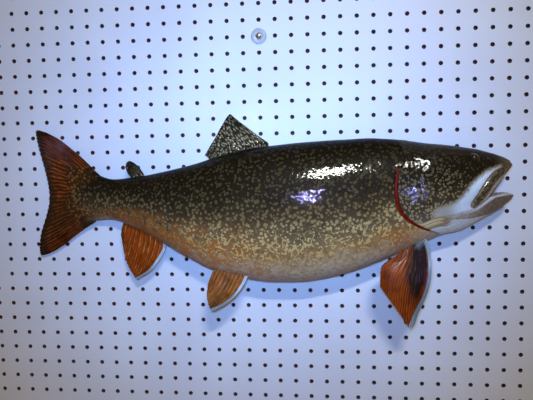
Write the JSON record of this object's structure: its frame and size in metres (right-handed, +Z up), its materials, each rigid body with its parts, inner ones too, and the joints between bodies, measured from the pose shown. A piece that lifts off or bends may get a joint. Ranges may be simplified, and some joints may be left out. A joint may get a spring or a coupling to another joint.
{
  "type": "mounted lake trout on perforated board",
  "caption": "Life-size still model of a lake trout mounted side on to a perforated hardboard panel: mouth open, fins spread, hung by a bolt, with battens behind for the wall.",
  "frame": {"origin": "on the rear face of the middle batten, level with the middle of the fish's mounting block", "axes": "+X towards the snout along the fish's length, +Y into the wall, +Z up"},
  "size_m": [0.9398, 0.1237, 0.7112],
  "materials": {
    "adipose_fin": "fin, painted and varnished",
    "anal_fin": "fin, painted and varnished",
    "batten_centre": "planed pine",
    "batten_left": "planed pine",
    "batten_right": "planed pine",
    "board_screw": "plated steel",
    "board_washer": "translucent white plastic",
    "caudal_fin": "fin, painted and varnished",
    "dorsal_fin": "fin, painted and varnished",
    "eye_left": "painted glass, polished",
    "eye_right": "painted glass, polished",
    "gill_edge_left": "painted red, varnished",
    "gill_edge_right": "painted red, varnished",
    "hanger_plate": "plated steel",
    "hanger_screw_1": "plated steel",
    "hanger_screw_2": "plated steel",
    "hanging_bolt": "plated steel",
    "hanging_nut": "plated steel",
    "head": "skin over a form, painted and varnished",
    "lower_jaw": "skin over a form, painted and varnished",
    "maxilla_left": "skin over a form, painted and varnished",
    "maxilla_right": "skin over a form, painted and varnished",
    "mounting_block": "bare birch plywood",
    "pectoral_fin_left": "fin, painted and varnished",
    "pectoral_fin_right": "fin, painted and varnished",
    "pelvic_fin_left": "fin, painted and varnished",
    "pelvic_fin_right": "fin, painted and varnished",
    "perforated_board": "tempered hardboard, one face painted pale blue-white",
    "tail_stem": "skin over a form, painted and varnished",
    "tongue": "painted, varnished",
    "trunk": "skin over a form, painted and varnished"
  },
  "bodies": {
    "root": {"adipose_fin": "adipose_fin", "anal_fin": "anal_fin", "batten_centre": "batten_centre", "batten_left": "batten_left", "batten_right": "batten_right", "board_screw": "board_screw", "board_washer": "board_washer", "caudal_fin": "caudal_fin", "dorsal_fin": "dorsal_fin", "eye_left": "eye_left", "eye_right": "eye_right", "gill_edge_left": "gill_edge_left", "gill_edge_right": "gill_edge_right", "hanger_plate": "hanger_plate", "hanger_screw_1": "hanger_screw_1", "hanger_screw_2": "hanger_screw_2", "hanging_bolt": "hanging_bolt", "hanging_nut": "hanging_nut", "head": "head", "lower_jaw": "lower_jaw", "maxilla_left": "maxilla_left", "maxilla_right": "maxilla_right", "mounting_block": "mounting_block", "pectoral_fin_left": "pectoral_fin_left", "pectoral_fin_right": "pectoral_fin_right", "pelvic_fin_left": "pelvic_fin_left", "pelvic_fin_right": "pelvic_fin_right", "perforated_board": "perforated_board", "tail_stem": "tail_stem", "tongue": "tongue", "trunk": "trunk"}
  },
  "joints": []
}
